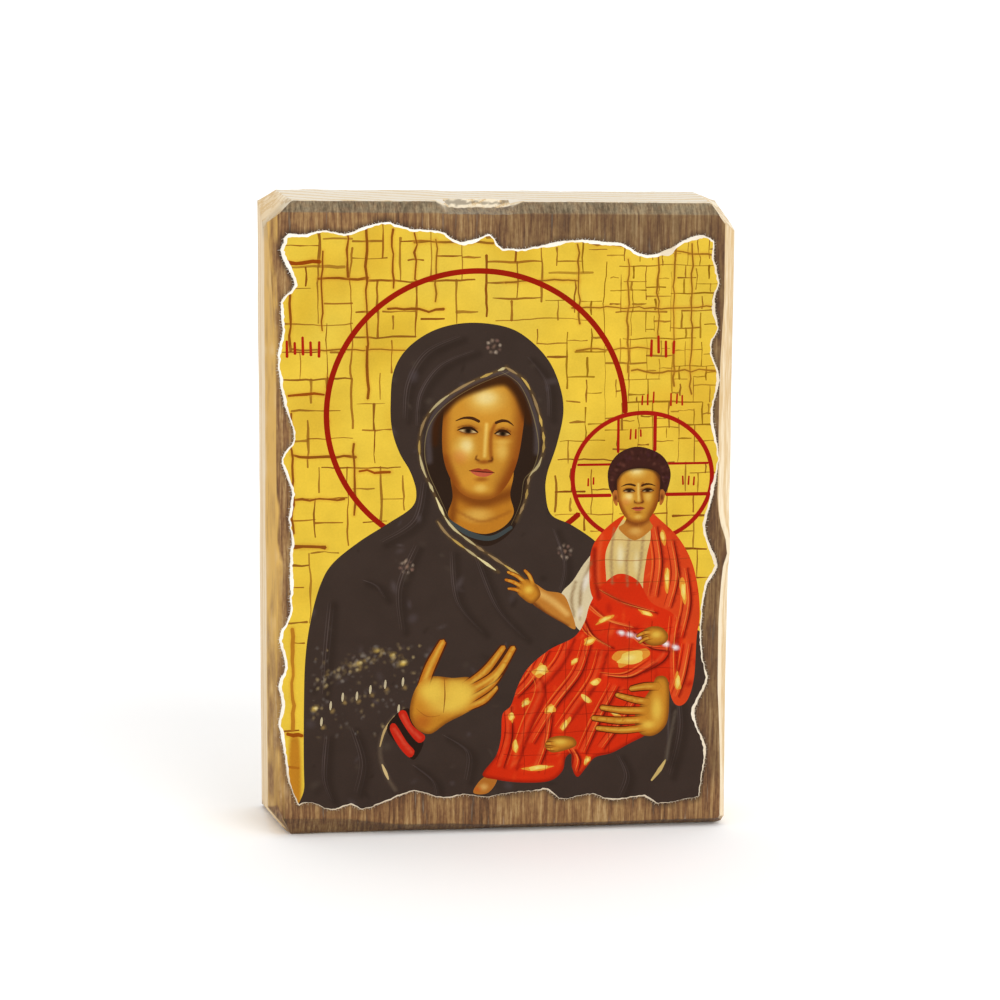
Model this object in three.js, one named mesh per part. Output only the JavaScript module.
import * as THREE from "three";

// A small printed icon on a softwood block: a hand-cut, bevelled block that stands on its lower edge,
// and a torn sheet of printed paper glued flat on its face.
// Lengths are millimetres. X runs across the picture, Y from front to back and Z up.
// The origin is the centre of the footprint, on the surface that the block stands on.

// Block
const BLOCK_WIDTH = 66;
const BLOCK_HEIGHT = 90;
const BLOCK_DEPTH = 18;
const HALF_WIDTH = BLOCK_WIDTH / 2;
// The top is sawn slightly out of square: this much high at the left and low at the right.
const TOP_FALL = 0.4;
// The right side is planed slightly inwards below this height.
const FOOT_LEAN = 0.15;
const FOOT_LEAN_HEIGHT = 60;
const BACK_EASE = 0.3;

// Paper
const PAPER_THICKNESS = 0.3;
const TORN_LIP = 0.1;
const TORN_WIDTH = 0.6;

// Depth planes, with the whole object centred from front to back
const BACK_Y = (BLOCK_DEPTH + PAPER_THICKNESS) / 2;
const FACE_Y = BACK_Y - BLOCK_DEPTH;
const PAPER_Y = FACE_Y - PAPER_THICKNESS;

// Front bevels, sanded by hand. Each row is a place along the edge, the bevel's width on the face
// and its depth on the side. Places on the upright edges are heights, the others are across.
const ARRIS_DEPTH = 2;
const BEVELS = {
  left: [
    [4, 1.4, ARRIS_DEPTH],
    [62, 1.5, ARRIS_DEPTH],
    [70, 1.45, ARRIS_DEPTH],
    [78, 1, ARRIS_DEPTH],
    [87, 0.4, 1.6],
  ],
  top: [
    [-HALF_WIDTH, 1.55, ARRIS_DEPTH],
    [HALF_WIDTH, 1.65, ARRIS_DEPTH],
  ],
  right: [
    [2, 0.9, 1.4],
    [11, 1.05, 1.7],
    [20, 1.6, ARRIS_DEPTH],
    [31, 1.7, ARRIS_DEPTH],
    [37.5, 1.3, 1.6],
    [40.8, 0.4, 0.4],
    [43.4, 1.5, 1.4],
    [47, 2.2, ARRIS_DEPTH],
    [67, 2.2, ARRIS_DEPTH],
    [76, 1.8, ARRIS_DEPTH],
  ],
  bottom: [
    [-29, 3, ARRIS_DEPTH],
    [-22, 2.8, ARRIS_DEPTH],
    [-14.5, 1.6, ARRIS_DEPTH],
    [-7, 1.5, ARRIS_DEPTH],
    [0, 1.05, ARRIS_DEPTH],
    [31, 1.15, 1.8],
  ],
};

// Corner cuts, each taken off across X and up Z from the block's square corner: on the face,
// at the bevel's outer edge and on the back. Round is how far the cut bulges, as a share of its run.
const CORNERS = {
  topLeft: { face: [2.3, 2.85], arris: [4, 4.2], back: [2.65, 1.7], round: 0 },
  topRight: { face: [2.65, 2.8], arris: [3.6, 4.1], back: [3.3, 1.3], round: 0 },
  bottomRight: { face: [1.85, 1.6], arris: [1.5, 1.1], back: [1, 1], round: 0.2 },
  bottomLeft: { face: [2.1, 4.9], arris: [3.5, 4.2], back: [0.4, 0.4], round: 0 },
};

// Chip knocked out of the top edge: its ends across, its drop and its reach over the top
const CHIP_START = -9.2;
const CHIP_END = 2.6;
const CHIP_RAMP = 2.4;
const CHIP_DROP = 0.95;
const CHIP_REACH = 5;

// Distance between the block's stations, and the stretch at each end that the corner cuts take
const STATION_STEP = 2;
const CORNER_STRETCH = 5.6;

// The torn outline of the paper. Each row is a turn of the tear: its place along the side and how far
// it lies outside that side's straight line. Upright sides are listed downwards, the others left to right.
const SHEET = { left: -30, right: 30, top: 86, bottom: 5 };
const TEARS = {
  top: [
    [-30.6, 0], [-28, -0.1], [-24.3, 0.35], [-22, -0.15], [-19.5, 0.65], [-16.2, 1.5], [-12.9, 0.5],
    [-8.7, 0.2], [-6, -1.3], [-4.3, -1.15], [-1.9, -0.3], [0.1, -2.4], [3, -2.35], [6.6, -1.65],
    [10, -1.25], [16.3, -1.7], [20.2, -3.45], [23.2, -2.5], [26.6, -0.8], [28.1, -0.6], [29.7, -1.6],
  ],
  right: [
    [84.4, -0.3], [82.8, -0.35], [78.6, 0.5], [76, -0.05], [72.2, 0.5], [69.6, -0.45], [64.7, 0.85],
    [60.3, -0.05], [53.6, 0.9], [49, 0.3], [44.1, -0.85], [38.2, 0.9], [35.6, -0.4], [30.3, -1.2],
    [24.5, -0.85], [22, -0.2], [16.9, -2], [11, -0.15], [9.6, -0.45], [4.4, -1.15],
  ],
  bottom: [
    [-28.75, 0.4], [-27.4, -0.15], [-23.6, 1.1], [-21.3, 0.35], [-19.7, 1.05], [-15.6, -0.2],
    [-12.2, -1.35], [-8, -0.25], [-5, -0.6], [-1.8, -0.2], [1.3, -0.7], [6.8, -1.05], [8.5, 0.35],
    [13.5, -0.2], [15.9, 0.75], [20.7, 0.3], [22.6, 1.45], [28.85, 0.6],
  ],
  left: [
    [86, 0.6], [84.6, 0.4], [83.6, 0.95], [82, 0.4], [78.7, -1], [76.4, 0.9], [72.8, 0.6], [69, 1.3],
    [63.5, 0.75], [57.4, -0.9], [54.6, 0.85], [49.5, -0.55], [46, -0.1], [43.2, -0.6], [40.8, -0.25],
    [33, -0.2], [29, 1.3], [25, 0.55], [22.3, 1.45], [19.6, 1.05], [17, 1.5], [13.7, 0.9], [8.5, 0.2],
    [4.6, -1.25],
  ],
};
const TEAR_STEP = 0.8;

/** Reads one column of a table of rows at a place, straight between rows and level past the ends. */
function readTable(table, place, column) {
  const after = table.findIndex((row) => row[0] >= place);
  if (after === 0) return table[0][column];
  if (after < 0) return table[table.length - 1][column];
  const low = table[after - 1];
  const high = table[after];
  const share = (place - low[0]) / (high[0] - low[0]);
  return THREE.MathUtils.lerp(low[column], high[column], share);
}

/** Height of the sloping top at a place across the block. */
function topHeight(x) {
  return BLOCK_HEIGHT - (TOP_FALL * x) / HALF_WIDTH;
}

/** Place of the right side at a height, leaning in towards the foot. */
function rightSide(z) {
  return HALF_WIDTH - FOOT_LEAN * Math.max(0, 1 - z / FOOT_LEAN_HEIGHT);
}

/** Share of the chip's full depth that is lost from the top edge at a place across it. */
function chipShare(x) {
  const rise = THREE.MathUtils.smoothstep(x, CHIP_START, CHIP_START + CHIP_RAMP);
  const fall = THREE.MathUtils.smoothstep(x, CHIP_END - CHIP_RAMP, CHIP_END);
  return rise - fall;
}

/** Evenly spaced stations from one place to another, ends included. */
function stations(from, to) {
  const count = Math.round(Math.abs(to - from) / STATION_STEP);
  return Array.from({ length: count + 1 }, (_, i) => THREE.MathUtils.lerp(from, to, i / count));
}

const LOW_STATION = CORNER_STRETCH;
const HIGH_STATION = BLOCK_HEIGHT - CORNER_STRETCH;
const SIDE_STATION = HALF_WIDTH - CORNER_STRETCH;

// The four sides, clockwise from the foot of the left one: how a place and an inset become a point,
// and where the side starts and ends once its corner cuts are taken off.
const SIDES = {
  left: {
    places: stations(LOW_STATION, HIGH_STATION),
    point: (place, inset) => [-HALF_WIDTH + inset, place],
    ends: (cuts) => [cuts.bottomLeft[1], topHeight(-HALF_WIDTH) - cuts.topLeft[1]],
  },
  top: {
    places: stations(-SIDE_STATION, SIDE_STATION),
    point: (place, inset) => [place, topHeight(place) - inset],
    ends: (cuts) => [-HALF_WIDTH + cuts.topLeft[0], HALF_WIDTH - cuts.topRight[0]],
  },
  right: {
    places: stations(HIGH_STATION, LOW_STATION),
    point: (place, inset) => [rightSide(place) - inset, place],
    ends: (cuts) => [topHeight(HALF_WIDTH) - cuts.topRight[1], cuts.bottomRight[1]],
  },
  bottom: {
    places: stations(SIDE_STATION, -SIDE_STATION),
    point: (place, inset) => [place, inset],
    ends: (cuts) => [HALF_WIDTH - cuts.bottomRight[0], -HALF_WIDTH + cuts.bottomLeft[0]],
  },
};
const CORNER_AFTER = { left: "topLeft", top: "topRight", right: "bottomRight", bottom: "bottomLeft" };

/** Middle point of a corner cut between its two ends, pushed out from the block where it is round. */
function cornerMiddle(start, end, round) {
  const middle = start.clone().lerp(end, 0.5);
  const outward = new THREE.Vector3(start.z - end.z, 0, end.x - start.x);
  return middle.addScaledVector(outward, round);
}

/** One closed loop of points round the block. */
function blockLoop(cuts, insetAt, depthAt) {
  const runs = Object.entries(SIDES).map(([name, side]) => {
    const [first, last] = side.ends(cuts);
    return [first, ...side.places, last].map((place) => {
      const [x, z] = side.point(place, insetAt(name, place));
      return new THREE.Vector3(x, depthAt(name, place), z);
    });
  });
  const names = Object.keys(SIDES);
  return runs.flatMap((run, i) => {
    const next = runs[(i + 1) % runs.length];
    const { round } = CORNERS[CORNER_AFTER[names[i]]];
    return [...run, cornerMiddle(run[run.length - 1], next[0], round)];
  });
}

/** Corner cuts at a share of the way from the bevel's outer edge to the back. */
function cutsTowardsBack(share) {
  const mix = (corner) => corner.arris.map((size, i) => THREE.MathUtils.lerp(size, corner.back[i], share));
  return Object.fromEntries(Object.entries(CORNERS).map(([name, corner]) => [name, mix(corner)]));
}

/** Joins loops with equal numbers of points into one closed solid, its two ends closed by fans. */
function loftSolid(loops) {
  const count = loops[0].length;
  const points = loops.flat();
  const faces = [];
  for (let level = 0; level + 1 < loops.length; level += 1) {
    for (let i = 0; i < count; i += 1) {
      const a = level * count + i;
      const b = level * count + ((i + 1) % count);
      faces.push(a, b, b + count, a, b + count, a + count);
    }
  }
  const frontHub = points.length;
  const backHub = frontHub + 1;
  const backStart = (loops.length - 1) * count;
  points.push(loopCentre(loops[0]), loopCentre(loops[loops.length - 1]));
  for (let i = 0; i < count; i += 1) {
    const next = (i + 1) % count;
    faces.push(frontHub, next, i, backHub, backStart + i, backStart + next);
  }
  const geometry = new THREE.BufferGeometry().setFromPoints(points);
  geometry.setIndex(faces);
  geometry.computeVertexNormals();
  return geometry;
}

/** Mean point of a loop. */
function loopCentre(loop) {
  const sum = loop.reduce((total, point) => total.add(point), new THREE.Vector3());
  return sum.divideScalar(loop.length);
}

/** The block: face, bevels, sides and back as loops from front to back. */
function blockGeometry() {
  const faceCuts = Object.fromEntries(Object.entries(CORNERS).map(([name, corner]) => [name, corner.face]));
  const chipDrop = (name, place) => (name === "top" ? CHIP_DROP * chipShare(place) : 0);
  const bevelWidth = (name, place) => readTable(BEVELS[name], place, 1);
  const arrisDepth = (name, place) => FACE_Y + readTable(BEVELS[name], place, 2) + chipDrop(name, place);
  const chipBack = () => FACE_Y + CHIP_REACH;
  return loftSolid([
    blockLoop(faceCuts, bevelWidth, () => FACE_Y),
    blockLoop(cutsTowardsBack(0), chipDrop, arrisDepth),
    blockLoop(cutsTowardsBack(CHIP_REACH / BLOCK_DEPTH), () => 0, chipBack),
    blockLoop(cutsTowardsBack(1), () => 0, () => BACK_Y - BACK_EASE),
    blockLoop(cutsTowardsBack(1), () => BACK_EASE, () => BACK_Y),
  ]);
}

/** Slopes of a smooth curve through the rows that never overshoots a turn of the tear. */
function tearSlopes(rows) {
  const secants = rows.slice(1).map((row, i) => (row[1] - rows[i][1]) / (row[0] - rows[i][0]));
  return rows.map((_, i) => {
    const before = secants[Math.max(i - 1, 0)];
    const after = secants[Math.min(i, secants.length - 1)];
    return before * after > 0 ? (2 * before * after) / (before + after) : 0;
  });
}

/** Places and offsets along one torn side, sampled evenly from its first row up to its last. */
function tearRun(rows) {
  const slopes = tearSlopes(rows);
  const samples = [];
  for (let i = 0; i + 1 < rows.length; i += 1) {
    const [start, low] = rows[i];
    const [end, high] = rows[i + 1];
    const span = end - start;
    const steps = Math.max(1, Math.round(Math.abs(span) / TEAR_STEP));
    for (let k = 0; k < steps; k += 1) {
      const t = k / steps;
      const rise = t * t * (3 - 2 * t);
      const lead = t * (1 - t) * (1 - t) * span * slopes[i];
      const tail = t * t * (t - 1) * span * slopes[i + 1];
      samples.push([start + t * span, THREE.MathUtils.lerp(low, high, rise) + lead + tail]);
    }
  }
  return samples;
}

/** The torn outline, clockwise seen from the front, from the upper left corner. */
function tornOutline() {
  const backwards = (rows) => [...rows].reverse();
  const top = tearRun(TEARS.top).map(([x, out]) => [x, SHEET.top + out]);
  const right = tearRun(TEARS.right).map(([z, out]) => [SHEET.right + out, z]);
  const bottom = tearRun(backwards(TEARS.bottom)).map(([x, out]) => [x, SHEET.bottom - out]);
  const left = tearRun(backwards(TEARS.left)).map(([z, out]) => [SHEET.left - out, z]);
  return [...top, ...right, ...bottom, ...left];
}

/** The outline as a loop at one depth, moved in square to the tear by an inset. */
function paperLoop(outline, inset, y) {
  return outline.map(([x, z], i) => {
    const [x0, z0] = outline[(i + outline.length - 1) % outline.length];
    const [x1, z1] = outline[(i + 1) % outline.length];
    const inward = new THREE.Vector2(z1 - z0, x0 - x1).normalize().multiplyScalar(inset);
    return new THREE.Vector3(x + inward.x, y, z + inward.y);
  });
}

/** The paper: a thin sheet whose torn margin slopes down to a feathered lip on the wood. */
function paperGeometry() {
  const outline = tornOutline();
  return loftSolid([
    paperLoop(outline, TORN_WIDTH, PAPER_Y),
    paperLoop(outline, 0, FACE_Y - TORN_LIP),
    paperLoop(outline, 0, FACE_Y),
  ]);
}

/** A named piece with its own material. */
function makePiece(name, geometry, look) {
  const mesh = new THREE.Mesh(geometry, new THREE.MeshStandardMaterial({ flatShading: true, ...look }));
  mesh.name = name;
  return mesh;
}

const icon = new THREE.Group();
icon.add(
  makePiece("wood_block", blockGeometry(), { color: 0x86643f, roughness: 0.6, metalness: 0 }),
  makePiece("print_sheet", paperGeometry(), { color: 0xb07a2e, roughness: 0.35, metalness: 0 }),
);

export default icon;
